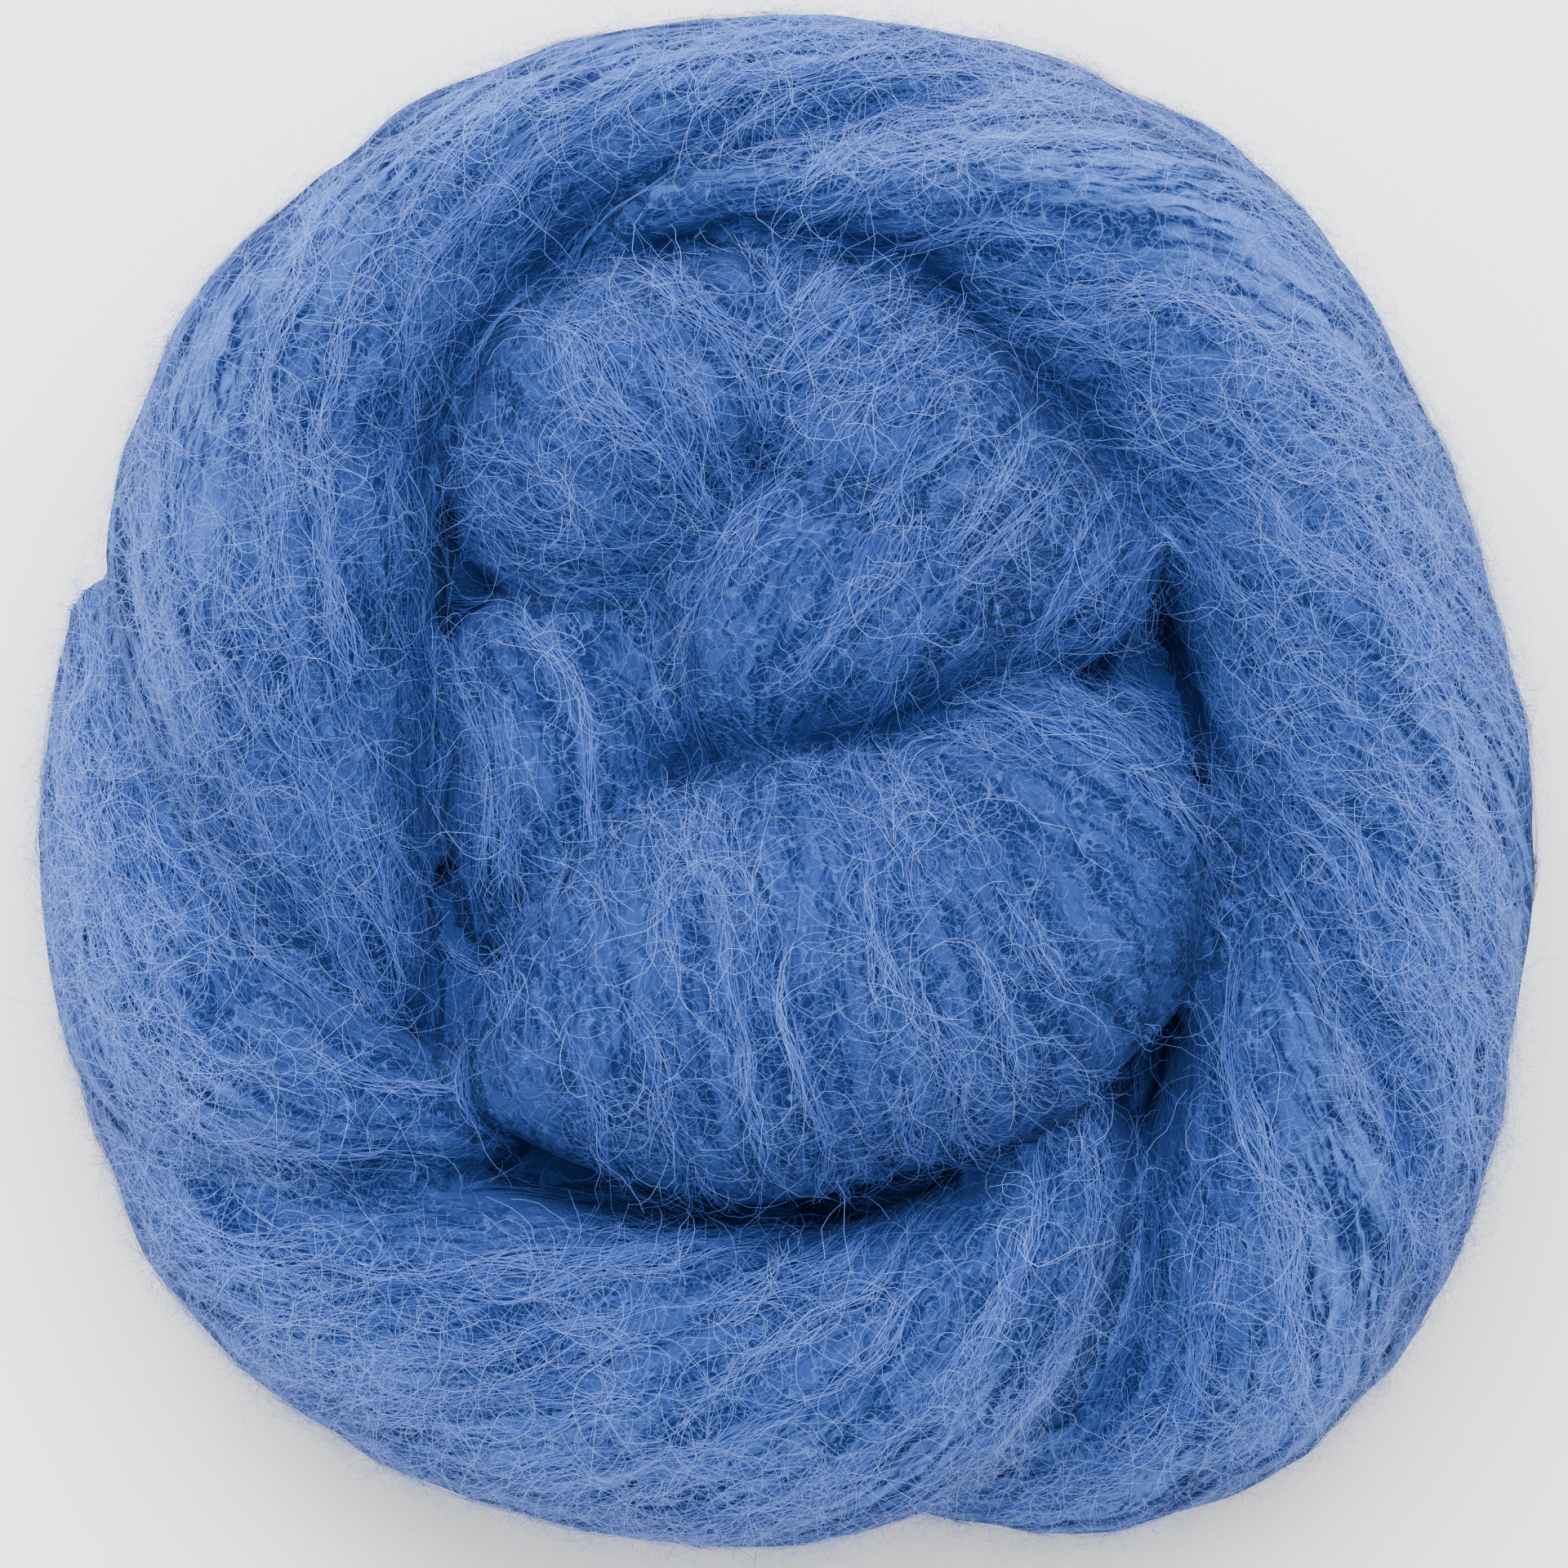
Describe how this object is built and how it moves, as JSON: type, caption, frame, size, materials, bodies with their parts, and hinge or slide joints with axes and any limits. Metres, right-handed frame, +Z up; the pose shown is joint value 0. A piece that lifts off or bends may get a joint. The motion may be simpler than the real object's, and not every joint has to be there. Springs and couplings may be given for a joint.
{
  "type": "coiled skein of yarn",
  "caption": "Soft brushed lace yarn wound into a twisted hank and coiled flat into a round nest, with its folded end tucked in the middle.",
  "frame": {"origin": "bottom centre of the skein's box, on the surface that it rests on", "axes": "+Z up out of the coil, +Y to the back of the nest as pictured from above, +X to its right"},
  "size_m": [0.125, 0.1283, 0.0547],
  "materials": {
    "yarn": "matte brushed yarn with a light halo of fine curly hairs, cornflower blue"
  },
  "bodies": {
    "root": {"skein": "yarn"}
  },
  "joints": []
}
